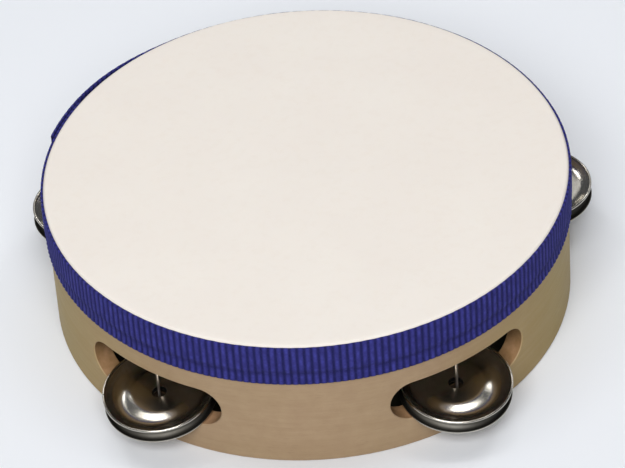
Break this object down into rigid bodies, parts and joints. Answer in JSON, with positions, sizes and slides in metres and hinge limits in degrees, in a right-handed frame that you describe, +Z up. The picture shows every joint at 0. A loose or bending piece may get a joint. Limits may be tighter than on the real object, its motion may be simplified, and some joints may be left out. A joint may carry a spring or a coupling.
{
  "type": "tambourine",
  "caption": "Small headed tambourine: wooden hoop with jingle slots, skin head, ribbed ribbon round the rim, and dished metal jingles loose on nails.",
  "frame": {"origin": "on the drum's axis, in the plane of the open base edge it stands on", "axes": "+Z up through the skin head, -Y towards the front between two jingle pairs, +X to the right; the seam of the ribbon is at the left side"},
  "size_m": [0.1673, 0.1659, 0.044],
  "materials": {
    "wood": "thin clear varnish over pale bent plywood or beech",
    "skin": "smooth matt cream drum skin, very faintly mottled",
    "ribbon": "matt ribbed ribbon, deep violet blue",
    "jingle_plate": "nickel-plated pressed steel, bright with a warm tone and light handling wear",
    "nail_steel": "plain bright wire nail"
  },
  "bodies": {
    "drum": {"frame_hoop": "wood", "drumhead": "skin", "rim_ribbon": "ribbon", "jingle_pin_1": "nail_steel", "jingle_pin_2": "nail_steel", "jingle_pin_3": "nail_steel", "jingle_pin_4": "nail_steel", "jingle_pin_5": "nail_steel"},
    "lower_1": {"jingle_lower_1": "jingle_plate"},
    "lower_2": {"jingle_lower_2": "jingle_plate"},
    "lower_3": {"jingle_lower_3": "jingle_plate"},
    "lower_4": {"jingle_lower_4": "jingle_plate"},
    "lower_5": {"jingle_lower_5": "jingle_plate"},
    "upper_1": {"jingle_upper_1": "jingle_plate"},
    "upper_2": {"jingle_upper_2": "jingle_plate"},
    "upper_3": {"jingle_upper_3": "jingle_plate"},
    "upper_4": {"jingle_upper_4": "jingle_plate"},
    "upper_5": {"jingle_upper_5": "jingle_plate"}
  },
  "joints": [
    {"name": "pair_1_rise", "type": "slide", "parent": "drum", "child": "lower_1", "axis": [0, 0, 1], "range_m": [0, 0.0036]},
    {"name": "pair_1_part", "type": "slide", "parent": "lower_1", "child": "upper_1", "axis": [0, 0, 1], "range_m": [0, 0.0036]},
    {"name": "pair_2_rise", "type": "slide", "parent": "drum", "child": "lower_2", "axis": [0, 0, 1], "range_m": [0, 0.0036]},
    {"name": "pair_2_part", "type": "slide", "parent": "lower_2", "child": "upper_2", "axis": [0, 0, 1], "range_m": [0, 0.0036]},
    {"name": "pair_3_rise", "type": "slide", "parent": "drum", "child": "lower_3", "axis": [0, 0, 1], "range_m": [0, 0.004]},
    {"name": "pair_3_part", "type": "slide", "parent": "lower_3", "child": "upper_3", "axis": [0, 0, 1], "range_m": [0, 0.004]},
    {"name": "pair_4_rise", "type": "slide", "parent": "drum", "child": "lower_4", "axis": [0, 0, 1], "range_m": [0, 0.004]},
    {"name": "pair_4_part", "type": "slide", "parent": "lower_4", "child": "upper_4", "axis": [0, 0, 1], "range_m": [0, 0.004]},
    {"name": "pair_5_rise", "type": "slide", "parent": "drum", "child": "lower_5", "axis": [0, 0, 1], "range_m": [0, 0.004]},
    {"name": "pair_5_part", "type": "slide", "parent": "lower_5", "child": "upper_5", "axis": [0, 0, 1], "range_m": [0, 0.004]}
  ]
}
